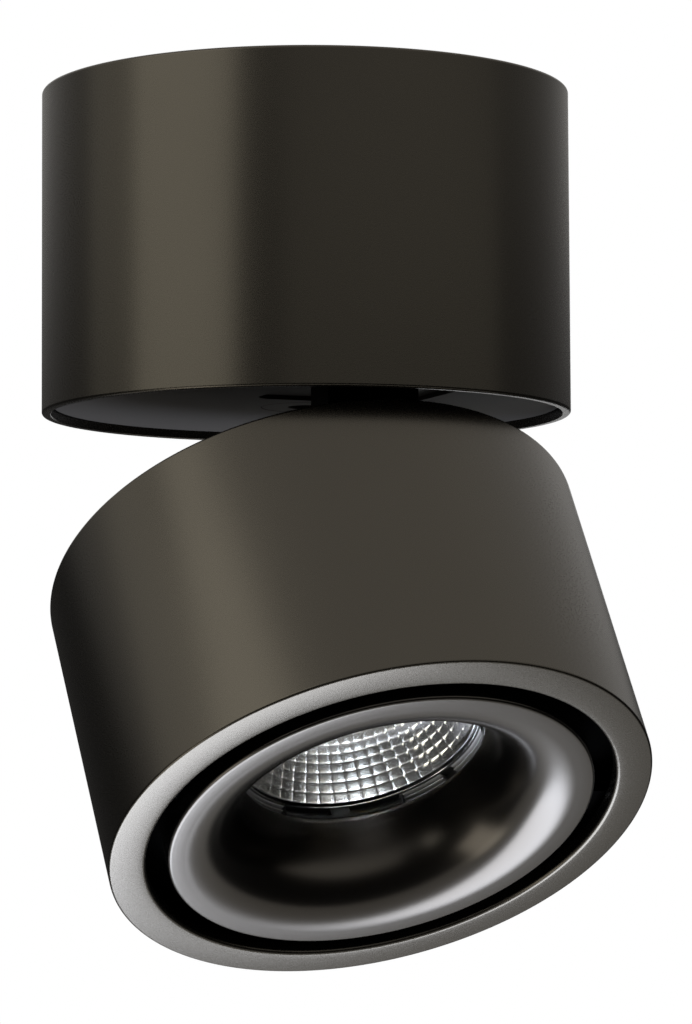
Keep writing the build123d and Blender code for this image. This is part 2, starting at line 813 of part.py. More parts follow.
def trim_carrier():
    """The black ring at the bottom of the groove, which the baffle stands on."""
    carrier = ring(head_inner - running_gap, carrier_bore, depth(carrier_front), depth(carrier_back))
    hole = screw_bore(small_screw, depth(carrier_front), depth(carrier_back))
    return carrier - around(hole, standoff_circle, standoff_angles)


def carrier_standoffs():
    post = disc(standoff_radius, depth(carrier_back), depth(sink_bottom))
    post -= screw_bore(small_screw, depth(carrier_back), depth(carrier_back - screw_bite))
    post += disc(small_screw[0], depth(sink_bottom), depth(sink_bottom - sink_bite))
    return around(post, standoff_circle, standoff_angles)


def carrier_screws():
    length = carrier_thickness + screw_bite
    screw = driven_up(depth(carrier_front), pan_screw(small_screw, length))
    return around(screw, standoff_circle, standoff_angles)


def baffle():
    """A spun trumpet: a skirt in the groove, a flat lip, and a rounded bell down to the retainer."""
    across = bell_radius - throat_radius
    bell_z = depth(head_length - bell_depth)
    front = depth(head_length)
    throat = depth(throat_back)
    foot = depth(head_length - skirt_depth)
    skirt_inner = baffle_radius - sheet
    outline = [
        Line((skirt_inner, foot), (baffle_radius, foot)),
        Line((baffle_radius, foot), (baffle_radius, front + lip_edge)),
        JernArc((baffle_radius, front + lip_edge), (0, -1), lip_edge, -quarter_turn),
        Line((baffle_radius - lip_edge, front), (bell_radius, front)),
        EllipticalCenterArc((bell_radius, bell_z), across, bell_depth, half_turn, arc_size=quarter_turn),
        Line((throat_radius, bell_z), (throat_radius, throat)),
        Line((throat_radius, throat), (throat_radius + sheet, throat)),
        Line((throat_radius + sheet, throat), (throat_radius + sheet, bell_z)),
        EllipticalCenterArc(
            (bell_radius, bell_z), across - sheet, bell_depth - sheet, half_turn, arc_size=quarter_turn
        ),
        Line((bell_radius, front + sheet), (skirt_inner, front + sheet)),
        Line((skirt_inner, front + sheet), (skirt_inner, foot)),
    ]
    return revolve(make_face(Plane.XZ * Wire(outline)), Axis.Z)


def clip_blocks():
    """Small holders on the carrier, each notched for the spring that grips the baffle."""
    inner = baffle_radius + running_gap
    outer = rim_inner + clip_under_rim
    high = depth(carrier_front)
    low = depth(carrier_front + clip_height)
    holder = sector(outer, inner, low, high, clip_width)
    notch = sector(inner + clip_depth, 0, low, high, clip_spring_length + 2 * running_gap)
    return around(holder - notch, 0, clip_angles)


def clip_springs():
    """A round spring across each holder's notch, against the baffle's skirt."""
    radius = baffle_radius + seat_gap + clip_spring_radius
    height = depth(carrier_front + clip_height / 2)
    spring = Pos(0, 0, height) * Rot(quarter_turn, 0, 0) * Cylinder(clip_spring_radius, clip_spring_length)
    return around(spring, radius, clip_angles)


# ---------------------------------------------------------------- all the pieces
fixed_pieces = {
    "ceiling_plate": ceiling_plate,
    "cable_grommet": cable_grommet,
    "canopy_shell": canopy_shell,
    "canopy_lock_screw": canopy_lock_screw,
    "driver_case": driver_case,
    "driver_lid": driver_lid,
    "driver_screws": driver_screws,
    "terminal_block": terminal_block,
    "terminal_screws": terminal_screws,
    "earth_screw": earth_screw,
    "bearing_plate": bearing_plate,
    "bearing_screws": bearing_screws,
    "stop_peg": stop_peg,
    "swivel_disc": swivel_disc,
    "glide_ring": glide_ring,
    "swivel_nipple": swivel_nipple,
    "wave_washer": wave_washer,
    "stop_washer": stop_washer,
    "nipple_nut": nipple_nut,
    "hinge_arm": hinge_arm,
    "arm_screws": arm_screws,
}
head_pieces = {
    "head_shell": head_shell,
    "back_cap": back_cap,
    "cap_screws": cap_screws,
    "hinge_pin": hinge_pin,
    "hinge_washers": hinge_washers,
    "heat_sink": heat_sink,
    "sink_screws": sink_screws,
    "thermal_pad": thermal_pad,
    "cob_board": cob_board,
    "cob_emitter": cob_emitter,
    "cob_holder": cob_holder,
    "cob_screws": cob_screws,
    "lens_barrel": lens_barrel,
    "barrel_screws": barrel_screws,
    "reflector": reflector,
    "cover_lens": cover_lens,
    "lens_retainer": lens_retainer,
    "trim_carrier": trim_carrier,
    "carrier_standoffs": carrier_standoffs,
    "carrier_screws": carrier_screws,
    "baffle": baffle,
    "clip_blocks": clip_blocks,
    "clip_springs": clip_springs,
}

os.makedirs("parts", exist_ok=True)
for node, piece in fixed_pieces.items():
    save(node, piece())
for node, piece in head_pieces.items():
    save(node, piece(), tilted)
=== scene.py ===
import json
from math import acos, atan2, cos, hypot, pi, radians, sin, tan

import bmesh
import bpy
from mathutils import Matrix, Vector


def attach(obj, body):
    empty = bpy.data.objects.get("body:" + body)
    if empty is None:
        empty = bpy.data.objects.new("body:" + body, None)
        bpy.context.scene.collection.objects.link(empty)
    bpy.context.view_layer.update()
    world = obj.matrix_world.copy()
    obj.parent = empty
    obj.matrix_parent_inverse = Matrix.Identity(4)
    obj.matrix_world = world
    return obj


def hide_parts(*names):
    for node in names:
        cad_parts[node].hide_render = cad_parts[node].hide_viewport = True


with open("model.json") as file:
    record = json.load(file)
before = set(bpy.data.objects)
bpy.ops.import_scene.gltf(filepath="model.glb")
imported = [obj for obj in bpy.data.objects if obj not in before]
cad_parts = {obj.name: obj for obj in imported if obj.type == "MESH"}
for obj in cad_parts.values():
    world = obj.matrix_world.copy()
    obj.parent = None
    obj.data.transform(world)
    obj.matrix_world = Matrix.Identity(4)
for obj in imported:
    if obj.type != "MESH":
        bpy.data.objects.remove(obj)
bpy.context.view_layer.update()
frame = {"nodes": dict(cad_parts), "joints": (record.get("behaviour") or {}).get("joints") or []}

# The looks of a surface mounted ceiling spotlight, over its CAD frame. The canopy's top is z = 0. The head is drawn
# hanging straight down, in depths from its back, and head_place then swings it about its pin. The hinge is drawn in
# side view, where u runs from the canopy's axis towards the pin.

MM = 0.001
ROUND = 256              # segments round a large turned piece
SMALL = 48               # and round a small one
OVER = 1                 # how far a cutting tool reaches past what it cuts
THIRDS = (0, 120, 240)
OPPOSITE = (0, 180)

# ---------------------------------------------------------------- sizes, in millimetres and degrees
clearance = 0.1          # of a piece that fits in another
bore_clearance = 0.05    # of a bore round its pin or nipple

canopy_radius = 50.0
canopy_inner = 48.25
rim_z = -61.4            # the canopy's lower edge
ledge_inner = 43.25
ledge_top = -2.6
ledge_bottom = -4.6
notch_inner = 40.0       # the gaps in the ledge that pass the ceiling plate's feet
notch_outer = 47.75
notch_half = 6.5
notch_turn = 24          # from a boss to the notch beside it
boss_radius = 3.6
boss_circle = 45.25
boss_low = -53.6
boss_high = -45.6
boss_pilot = 6.0
boss_angles = (30, 150, 270)
screw_hole = 1.3

lock_z = -10.0           # the grub screw at the canopy's back
lock_bore = 2.05
lock_boss_radius = 4.0
lock_boss_ends = (45.25, 49.1)
grub_radius = 2.0
grub_ends = (42.95, 48.95)
grub_socket = 1.0

disc_low = -59.8
disc_high = -56.8
disc_radius = 47.95
nipple_radius = 5.0
nipple_bore = 3.5
nipple_flange = 8.5
nipple_flange_height = 1.2
nipple_top = -46.9
seat_depth = 0.8
seat_half = 15.3
seat_ends = (-41.0, -10.7)

pin_u = 43.33
pin_z = -72.64
pin_radius = 1.5
pin_bore = pin_radius + bore_clearance
leg_back = 23.5
leg_front = 31.5
arm_top = -59.0
arm_low = -75.64
arm_half = 9.0           # half its width
across = 12              # half the length of the tools that cut across the hinge
waist_half = 7.0         # half the width of the part that lies between the ears
barrel_radius = 3.0
ear_radius = 3.3
ear_inner = 7.6
ear_thickness = 2.5

head_back = -65.4
head_radius = 50.3
head_inner = 48.3
head_length = 58.3
rim_inner = 43.4
rim_top = 45.2           # the radius at which the rim's crown is highest
rim_bends = (58, 20)     # how flat the crown is outside and inside of that
rim_thickness = 2.6
rib_circle = 45.6        # the screw ribs inside the head
rib_radius = 3.4
rib_angles = (90, 210, 330)
cap_thickness = 2.5
sink_top = 12.3
slot_half = 9.6          # the stepped slot in the back cap, where the arm passes
slot_near = 23.2
slot_step = 35.3
countersink_radii = (3.35, 2.35)
countersink_depth = 1.05

lip_radius = 39.55
lip_top = 37.4
lip_round = 0.7
lip_bend = 50
bell_radius = 36.4
throat_radius = 22.9
baffle_depth = 16.6
skirt_depth = 9.9
sheet = 1.2
lip_handle = 9.0         # how long the bell stays flat at its lip
throat_handle = 9.0      # how long it stays steep at its throat
throat_draft = 2.4       # and how far it leans outwards over that length
carrier_inner = 37.55
carrier_back = 46.3
carrier_front = 48.3
shade_liner = 0.5             # thickness of the black sheet that lines the head's inner wall inside the rim: a dark sheet of painted shade

optic_back = 18.1
optic_front = 37.9
optic_base = 7.0
optic_mouth = 22.1
optic_flange = 25.3
facets_round = 48
facet_rows = 17
facet_bulge = 0.1
facet_steps = (0.0, 0.07, 0.2, 0.5, 0.8, 0.93)    # where a facet is cut up, closer at its edges
cover_back = 38.0
cover_front = 39.5
retainer_outer = 25.4
retainer_back = 38.9
retainer_front = 41.6
bayonet_depth = 24.3     # the radius that the bayonet slots reach
bayonet_angles = ((51.2, 75.4), (84.6, 108.8))
recess_depth = 24.7      # the radius that the recesses of the grip ribs reach
recess_angles = (-11, 50)
grip_angles = ((-10.5, 21), (28, 49.5))
grip_count = 3
grip_pitch = 0.65
grip_thickness = 0.3
grip_step = 0.45
emitter_radius = 6.5
emitter_height = 0.5
board_front = 17.4

holder_ends = (39.85, 44.9)    # the blocks in the groove that hold the baffle's springs
holder_half = 3.7
holder_height = 5.0
holder_gap = (41.45, 2.8)      # the spring's room: its bottom and half its width
spring_radius = 0.6
spring_half = 2.5
spring_circle = 40.25

tilt_joint = next(joint for joint in frame["joints"] if joint["name"] == "head_tilt")
pin = Vector(tilt_joint["pos_m"])
rest_tilt = -radians(tilt_joint["range_deg"][0])
swing = Matrix.Rotation(-rest_tilt, 4, "X")
head_place = Matrix.Translation(pin) @ swing @ Matrix.Translation(-pin)
identity = Matrix.Identity(4)

# side view of the hinge: u runs towards -Y, v is z, and the extrusion runs along X
side_view = Matrix(((0, 0, 1, 0), (-1, 0, 0, 0), (0, 1, 0, 0), (0, 0, 0, 1)))
# back view of the canopy: y runs downwards, and the extrusion runs along Y
lock_view = Matrix(((1, 0, 0, 0), (0, 0, 1, 0), (0, -1, 0, 0), (0, 0, 0, 1)))


# ---------------------------------------------------------------- outlines
def rounded(corners, steps=6, hold=0.05):
    """A closed outline with rounded corners, given as (x, y, radius); hold adds a point on the flat beside each."""
    points = []
    for index, corner in enumerate(corners):
        x, y = corner[:2]
        radius = corner[2] if len(corner) > 2 else 0
        if not radius:
            points.append((x, y))
            continue
        before = corners[index - 1]
        after = corners[(index + 1) % len(corners)]
        back = Vector((before[0] - x, before[1] - y)).normalized()
        ahead = Vector((after[0] - x, after[1] - y)).normalized()
        half = acos(max(-1, min(1, back.dot(ahead)))) / 2
        to_arc = radius / tan(half)
        middle = Vector((x, y)) + (back + ahead).normalized() * radius / sin(half)
        start = Vector((x, y)) + back * to_arc
        end = Vector((x, y)) + ahead * to_arc
        first = atan2(start.y - middle.y, start.x - middle.x)
        sweep = (atan2(end.y - middle.y, end.x - middle.x) - first + pi) % (2 * pi) - pi
        points.append(tuple(start + back * hold))
        for step in range(steps + 1):
            angle = first + sweep * step / steps
            points.append((middle.x + radius * cos(angle), middle.y + radius * sin(angle)))
        points.append(tuple(end + ahead * hold))
    return points


def smooth_curve(start, first, second, end, steps=48):
    """Points of a cubic curve between two ends with two handles."""
    points = []
    for k in range(steps + 1):
        t = k / steps
        weights = ((1 - t) ** 3, 3 * t * (1 - t) ** 2, 3 * t * t * (1 - t), t ** 3)
        points.append(tuple(
            sum(weight * point[axis] for weight, point in zip(weights, (start, first, second, end)))
            for axis in (0, 1)
        ))
    return points


def crowned(top, face, outer, outer_round, inner, inner_round, bends, steps=10):
    """A face with a soft crown and rounded edges: (radius, depth) points from its outer side to its inner side."""
    turns = [pi / 2 * k / steps for k in range(steps + 1)]

    def level(radius):
        return face - (radius - top) ** 2 / (2 * bends[0 if radius > top else 1])

    first = outer - outer_round
    last = inner + inner_round
    points = [(first + outer_round * cos(a), level(first) - outer_round * (1 - sin(a))) for a in turns[:-1]]
    for k in range(2 * steps + (0 if inner_round else 1)):
        radius = first + (last - first) * k / (2 * steps)
        points.append((radius, level(radius)))
    if inner_round:
        points += [(last - inner_round * sin(a), level(last) - inner_round * (1 - cos(a))) for a in turns]
    return points


def down(outline):
    """(radius, depth) points of the head as (radius, z)."""
    return [(point[0], head_back - point[1], *point[2:]) for point in outline]


def rectangle(x0, x1, y0, y1, radius=0.0):
    return rounded([(x0, y0, radius), (x1, y0, radius), (x1, y1, radius), (x0, y1, radius)])


def circle(x, y, radius, steps=SMALL):
    return [
        (x + radius * cos(2 * pi * k / steps), y + radius * sin(2 * pi * k / steps)) for k in range(steps)
    ]


# ---------------------------------------------------------------- meshes
def mesh_object(name, verts, faces):
    mesh = bpy.data.meshes.new(name)
    mesh.from_pydata([(x * MM, y * MM, z * MM) for x, y, z in verts], [], faces)
    obj = bpy.data.objects.new(name, mesh)
    bpy.context.scene.collection.objects.link(obj)
    return settled(obj)


def settled(obj):
    """Welds doubled points and turns the faces outwards."""
    bm = bmesh.new()
    bm.from_mesh(obj.data)
    bmesh.ops.remove_doubles(bm, verts=bm.verts, dist=1e-7)
    bmesh.ops.recalc_face_normals(bm, faces=bm.faces)
    bm.to_mesh(obj.data)
    bm.free()
    return obj


def turned(name, outline, segments=ROUND):
    """A turned piece from a closed outline of (radius, z) points."""
    count = len(outline)
    verts = []
    for k in range(segments):
        angle = 2 * pi * k / segments
        verts += [(r * cos(angle), r * sin(angle), z) for r, z in outline]
    faces = []
    for k in range(segments):
        a = k * count
        b = (k + 1) % segments * count
        for i in range(count):
            j = (i + 1) % count
            near_axis = outline[i][0] < 1e-6
            far_axis = outline[j][0] < 1e-6
            if near_axis and far_axis:
                continue
            if near_axis:
                faces.append((a + i, b + j, a + j))
            elif far_axis:
                faces.append((a + i, b + i, a + j))
            else:
                faces.append((a + i, b + i, b + j, a + j))
    return mesh_object(name, verts, faces)


def prism(name, outline, low, high, place=identity):
    """An outline of (x, y) points, extruded from z = low to high, then placed."""
    count = len(outline)
    verts = [(x, y, low) for x, y in outline] + [(x, y, high) for x, y in outline]
    faces = [tuple(range(count)), tuple(range(count, 2 * count))]
    faces += [(i, (i + 1) % count, (i + 1) % count + count, i + count) for i in range(count)]
    obj = mesh_object(name, verts, faces)
    obj.data.transform(place)
    return settled(obj)


def arc_prism(name, start, end, inner, outer, back, front):
    """A piece of a ring of the head, between two angles in degrees, two radii and two depths."""
    steps = [radians(start + (end - start) * k / 12) for k in range(13)]
    outline = [(outer * cos(a), outer * sin(a)) for a in steps]
    outline += [(inner * cos(a), inner * sin(a)) for a in steps[::-1]]
    return prism(name, outline, head_back - front, head_back - back)


def evaluated(obj):
    """Applies the object's modifiers."""
    mesh = bpy.data.meshes.new_from_object(obj.evaluated_get(bpy.context.evaluated_depsgraph_get()))
    obj.modifiers.clear()
    old = obj.data
    obj.data = mesh
    bpy.data.meshes.remove(old)
    return obj


def joined(objects):
    """Separate lumps in one mesh."""
    bm = bmesh.new()
    for obj in objects:
        bm.from_mesh(obj.data)
    first = objects[0]
    bm.to_mesh(first.data)
    bm.free()
    for obj in objects[1:]:
        bpy.data.objects.remove(obj)
    return first


def cut(obj, *tools):
    """Takes all the tools away from the object with one boolean."""
    tool = joined(tools) if len(tools) > 1 else tools[0]
    modifier = obj.modifiers.new("boolean", "BOOLEAN")
    modifier.operation = "DIFFERENCE"
    modifier.solver = "EXACT"
    modifier.use_self = len(tools) > 1
    modifier.object = tool
    evaluated(obj)
    bpy.data.objects.remove(tool)


def bevelled(obj, width, segments=2, angle=50):
    modifier = obj.modifiers.new("bevel", "BEVEL")
    modifier.width = width * MM
    modifier.segments = segments
    modifier.limit_method = "ANGLE"
    modifier.angle_limit = radians(angle)
    modifier.harden_normals = False
    return evaluated(obj)


def move(obj, x, y, z):
    obj.data.transform(Matrix.Translation((x * MM, y * MM, z * MM)))
    return obj


def around(make, angles):
    """Copies of what make() gives, turned about the Z axis."""
    copies = []
    for angle in angles:
        obj = make()
        obj.data.transform(Matrix.Rotation(radians(angle), 4, "Z"))
        copies.append(obj)
    return copies


def shaded(obj, angle):
    """Smooth shading that keeps the sharp edges, with flat faces kept flat."""
    obj.data.shade_smooth()
    obj.data.set_sharp_from_angle(angle=radians(angle))
    modifier = obj.modifiers.new("normals", "WEIGHTED_NORMAL")
    modifier.keep_sharp = True
    return evaluated(obj)


def piece(obj, name, body, slot, nodes=(), angle=35, place=identity, finish=None):
    """Finishes an object as a piece of the model; finish picks another material than the slot's own."""
    shaded(obj, angle)
    obj.name = name
    obj.data.name = name
    obj.matrix_world = place
    obj.data.materials.clear()
    obj.data.materials.append(materials[finish or slot])
    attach(obj, body)
    if nodes:
        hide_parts(*nodes)


# ---------------------------------------------------------------- materials
broad_scale = 45.0       # of the noise in the colour
fine_scale = 4000.0      # of the grain in roughness and height
ring_scale = 5000.0      # of the turning marks
relief_height = 0.0002   # metres


def add_noise(nodes, scale, detail):
    noise = nodes.new("ShaderNodeTexNoise")
    noise.inputs["Scale"].default_value = scale
    noise.inputs["Detail"].default_value = detail
    return noise


def turning_marks(nodes, links, where):
    """Noise that is the same all round the Z axis."""
    split = nodes.new("ShaderNodeSeparateXYZ")
    links.new(where, split.inputs["Vector"])
    flat = nodes.new("ShaderNodeCombineXYZ")
    links.new(split.outputs["X"], flat.inputs["X"])
    links.new(split.outputs["Y"], flat.inputs["Y"])
    radius = nodes.new("ShaderNodeVectorMath")
    radius.operation = "LENGTH"
    links.new(flat.outputs["Vector"], radius.inputs[0])
    marks = nodes.new("ShaderNodeCombineXYZ")
    links.new(radius.outputs["Value"], marks.inputs["X"])
    links.new(split.outputs["Z"], marks.inputs["Y"])
    rings = add_noise(nodes, ring_scale, 2.0)
    links.new(marks.outputs["Vector"], rings.inputs["Vector"])
    return rings.outputs["Fac"]


def finish_of(name, colour, roughness, metallic=0.0, spread=0.05, tint=0.06, bump=0.02, turning=0.0, **constants):
    """A surface with fine grain: noise in its colour, roughness and height, and turning marks if asked."""
    material = bpy.data.materials.new(name + "_finish")
    material.use_nodes = True
    nodes = material.node_tree.nodes
    links = material.node_tree.links
    shader = nodes["Principled BSDF"]
    shader.inputs["Metallic"].default_value = metallic
    for key, value in constants.items():
        shader.inputs[key.replace("_", " ")].default_value = value
    where = nodes.new("ShaderNodeTexCoord").outputs["Object"]

    broad = add_noise(nodes, broad_scale, 4.0)
    links.new(where, broad.inputs["Vector"])
    mixed = nodes.new("ShaderNodeMix")
    mixed.data_type = "RGBA"
    mixed.inputs["A"].default_value = (*[c * (1 - tint) for c in colour], 1)
    mixed.inputs["B"].default_value = (*[c * (1 + tint) for c in colour], 1)
    links.new(broad.outputs["Fac"], mixed.inputs["Factor"])
    links.new(mixed.outputs["Result"], shader.inputs["Base Color"])

    fine = add_noise(nodes, fine_scale, 3.0)
    links.new(where, fine.inputs["Vector"])
    level = nodes.new("ShaderNodeMapRange")
    level.inputs["To Min"].default_value = roughness - spread
    level.inputs["To Max"].default_value = roughness + spread
    links.new(fine.outputs["Fac"], level.inputs["Value"])
    links.new(level.outputs["Result"], shader.inputs["Roughness"])

    height = fine.outputs["Fac"]
    if turning:
        blend = nodes.new("ShaderNodeMix")
        blend.inputs["Factor"].default_value = turning
        links.new(fine.outputs["Fac"], blend.inputs["A"])
        links.new(turning_marks(nodes, links, where), blend.inputs["B"])
        height = blend.outputs["Result"]
    relief = nodes.new("ShaderNodeBump")
    relief.inputs["Strength"].default_value = bump
    relief.inputs["Distance"].default_value = relief_height
    links.new(height, relief.inputs["Height"])
    links.new(relief.outputs["Normal"], shader.inputs["Normal"])
    return material


# name: (colour, roughness, metallic, the other settings)
finishes = {
    "shell_bronze": ((0.052, 0.0475, 0.0395), 0.27, 1.0, dict(spread=0.03, tint=0.03, bump=0.03)),
    "baffle_finish": ((0.051, 0.047, 0.0415), 0.24, 1.0, dict(spread=0.03, tint=0.03, bump=0.03, turning=0.5)),
    "disc_black": ((0.0125, 0.0105, 0.0085), 0.5, 0.0, dict(spread=0.06, bump=0.1, Specular_IOR_Level=0.35)),
    "arm_black": ((0.003, 0.003, 0.003), 0.6, 0.0, dict(spread=0.05, bump=0.1, Specular_IOR_Level=0.2)),
    "plate_steel": ((0.56, 0.56, 0.55), 0.34, 1.0, dict(spread=0.08, tint=0.08)),
    "screw_steel": ((0.5, 0.5, 0.49), 0.28, 1.0, dict(spread=0.06, tint=0.05)),
    "brass": ((0.72, 0.52, 0.24), 0.26, 1.0, dict(spread=0.05, tint=0.06)),
    "spring_steel": ((0.62, 0.62, 0.62), 0.22, 1.0, dict(spread=0.04, tint=0.04)),
    "grommet_rubber": ((0.02, 0.02, 0.02), 0.7, 0.0, dict(bump=0.15)),
    "white_plastic": ((0.78, 0.78, 0.76), 0.42, 0.0, dict(tint=0.02, bump=0.05)),
    "black_plastic": ((0.014, 0.016, 0.0165), 0.45, 0.0, dict(bump=0.06)),
    # painted highlight: an opaque light grey in place of clear plastic, so the grip ribs show as bright lines
    "painted_glint_grey": ((0.6, 0.61, 0.62), 0.22, 0.5, dict(spread=0.04, tint=0.1, bump=0.03)),
    # painted shade: a black darker than the black plastic, with no specular at all, that keeps the parts deep in the
    # groove dark
    "painted_shade_black": ((0.002, 0.002, 0.002), 0.65, 0.0, dict(bump=0.06, Specular_IOR_Level=0.0)),
    "glide_plastic": ((0.7, 0.69, 0.66), 0.35, 0.0, dict(tint=0.02, bump=0.04)),
    "sink_aluminium": ((0.66, 0.67, 0.68), 0.38, 1.0, dict(spread=0.07, tint=0.06)),
    "thermal_pad": ((0.42, 0.44, 0.46), 0.8, 0.0, dict(tint=0.05, bump=0.1)),
    "board_white": ((0.82, 0.82, 0.8), 0.4, 0.0, dict(tint=0.02, bump=0.03)),
    "phosphor": ((0.86, 0.62, 0.12), 0.45, 0.0, dict(tint=0.06, bump=0.05)),
    "mirror_optic": ((0.93, 0.93, 0.91), 0.14, 1.0, dict(spread=0.02, tint=0.01, bump=0.01)),
    "clear_cover": ((0.97, 0.98, 0.98), 0.03, 0.0,
                    dict(spread=0.01, tint=0.005, bump=0.004, Transmission_Weight=1.0, IOR=1.49)),
}
materials = {
    name: finish_of(name, colour, roughness, metallic, **settings)
    for name, (colour, roughness, metallic, settings) in finishes.items()
}

# ---------------------------------------------------------------- canopy
shell = turned("canopy", rounded([
    (canopy_radius, 0, 0.5), (canopy_radius, rim_z, 0.5), (canopy_inner, rim_z, 0.3),
    (canopy_inner, ledge_bottom, 0.3), (ledge_inner, ledge_bottom, 0.3), (ledge_inner, ledge_top, 0.3),
    (canopy_inner, ledge_top, 0.3), (canopy_inner, 0, 0.3),
]))


def notch():
    outline = rectangle(notch_inner, notch_outer, -notch_half, notch_half)
    return prism("notch", outline, ledge_bottom - OVER, ledge_top + OVER)


cut(shell, *around(notch, [angle + notch_turn for angle in boss_angles]))
cut(shell, prism("lock_hole", circle(0, -lock_z, lock_bore), canopy_radius - 4, canopy_radius + 2, lock_view))


def boss():
    return move(turned("boss", rounded([
        (screw_hole, boss_low, 0.15), (boss_radius, boss_low, 0.3), (boss_radius, boss_high, 0.3), (0, boss_high),
        (0, boss_low + boss_pilot), (screw_hole, boss_low + boss_pilot),
    ]), SMALL), boss_circle, 0, 0)


def lock_part(name, outline, segments):
    """A turned piece on the grub screw's axis."""
    part = turned(name, outline, segments)
    part.data.transform(lock_view)
    return move(part, 0, 0, lock_z)


near, far = lock_boss_ends
lock_boss = lock_part("lock_boss", rounded([
    (lock_bore, near, 0.2), (lock_boss_radius, near, 0.3), (lock_boss_radius, far), (lock_bore, far),
]), SMALL)
shell = joined([shell, *around(boss, boss_angles), lock_boss])
piece(shell, "canopy_body", "canopy", "shell_bronze", ["canopy_shell"])

near, far = grub_ends
grub = lock_part("grub", rounded([(0, near), (grub_radius, near, 0.4), (grub_radius, far, 0.25), (0, far)]), 64)
cut(grub, prism("socket", circle(0, -lock_z, grub_socket, 6), far - 2.95, far + 1.05, lock_view))
piece(grub, "canopy_grub_screw", "canopy", "screw_steel", ["canopy_lock_screw"])

# ---------------------------------------------------------------- swivel
disc = turned("disc", rounded([
    (nipple_radius + bore_clearance, disc_high), (disc_radius, disc_high, 0.2), (disc_radius, disc_low, 0.4),
    (nipple_flange + clearance, disc_low, 0.1), (nipple_flange + clearance, disc_low + nipple_flange_height),
    (nipple_radius + bore_clearance, disc_low + nipple_flange_height),
]))
cut(disc, prism("seat", rectangle(-seat_half, seat_half, *seat_ends, 3.5), disc_low - OVER, disc_low + seat_depth))
bevelled(disc, 0.12)
piece(disc, "swivel_floor", "swivel", "disc_black", ["swivel_disc"])

nipple = turned("nipple", rounded([
    (nipple_bore, disc_low, 0.3), (nipple_flange, disc_low, 0.25),
    (nipple_flange, disc_low + nipple_flange_height, 0.1), (nipple_radius, disc_low + nipple_flange_height),
    (nipple_radius, nipple_top, 0.4), (nipple_bore, nipple_top, 0.2),
]), 96)
piece(nipple, "wire_nipple", "swivel", "disc_black", ["swivel_nipple"])

arm = prism("arm", rounded([
    (leg_back, arm_top), (leg_back, arm_low, 8.5), (pin_u + barrel_radius, arm_low, 3.0),
    (pin_u + barrel_radius, pin_z + barrel_radius, 3.0), (leg_front, pin_z + barrel_radius, 3.5),
    (leg_front, arm_top),
], 12), -arm_half, arm_half, side_view)
for low, high in ((-across, -waist_half), (waist_half, across)):
    cut(arm, prism("waist", rectangle(leg_front + 0.4, 60, -80, -55), low, high, side_view))
bevelled(arm, 0.7, 4)
cut(arm, prism("pin_hole", circle(pin_u, pin_z, pin_bore), -across, across, side_view))
piece(arm, "goose_neck", "swivel", "arm_black", ["hinge_arm"])

# ---------------------------------------------------------------- head: shell and back cap
rim_back = head_length - rim_thickness
# the last two corners only steer the rounding: the crowned face takes their place
head = turned("head", down([
    *rounded([
        (rim_inner, rim_back, 0.2), (head_inner, rim_back, 0.4), (head_inner, 0, 0.2), (head_radius, 0, 0.6),
        (head_radius, rim_back), (rim_inner, rim_back + 0.3),
    ], 8)[:-2],
    *crowned(rim_top, head_length, head_radius, 0.5, rim_inner, 0.8, rim_bends),
]))


def rib():
    return move(turned("rib", down(rounded([
        (screw_hole, cap_thickness, 0.15), (rib_radius, cap_thickness, 0.3), (rib_radius, sink_top, 0.3),
        (screw_hole, sink_top, 0.15),
    ])), SMALL), rib_circle, 0, 0)


head = joined([head, *around(rib, rib_angles)])
head.data.transform(head_place)
piece(head, "head_body", "head", "shell_bronze", ["head_shell"])

cap_radius = head_inner - clearance
cap = turned("cap", rounded(down([
    (0, 0), (cap_radius, 0, 0.3), (cap_radius, cap_thickness, 0.2), (0, cap_thickness),
])))
slot_far = pin_u + ear_radius
cut(cap, prism("slot", rounded([
    (-slot_half, -slot_step, 0.4), (-slot_half, -slot_near, 1.0), (slot_half, -slot_near, 1.0),
    (slot_half, -slot_step, 0.4), (ear_inner, -slot_step, 0.4), (ear_inner, -slot_far, 0.6),
    (-ear_inner, -slot_far, 0.6), (-ear_inner, -slot_step, 0.4),
]), head_back - cap_thickness - OVER, head_back + OVER))


def countersink():
    wide, narrow = countersink_radii
    return move(turned("countersink", down([
        (0, -OVER), (wide, -OVER), (narrow, 0), (screw_hole, countersink_depth), (screw_hole, 4), (0, 4),
    ]), SMALL), rib_circle, 0, 0)


cut(cap, *around(countersink, rib_angles))
bevelled(cap, 0.15)


def ear(side):
    """The cap's ear for the pin, at one side (-1 or 1) of the arm."""
    left, right = pin_u - ear_radius, pin_u + ear_radius
    root = head_back - cap_thickness + 0.2
    tip = pin_z - ear_radius
    outline = rounded([
        (left, pin_z), (left, root), (right, root), (right, tip, ear_radius - 0.001), (left, tip, ear_radius - 0.001),
    ], 12)
    low = ear_inner if side > 0 else -ear_inner - ear_thickness
    plate = prism("ear", outline, low, low + ear_thickness, side_view)
    cut(plate, prism("eye", circle(pin_u, pin_z, pin_bore), -across, across, side_view))
    return bevelled(plate, 0.25)


piece(joined([cap, ear(-1), ear(1)]), "head_back_cap", "head", "disc_black", ["back_cap"], place=head_place)

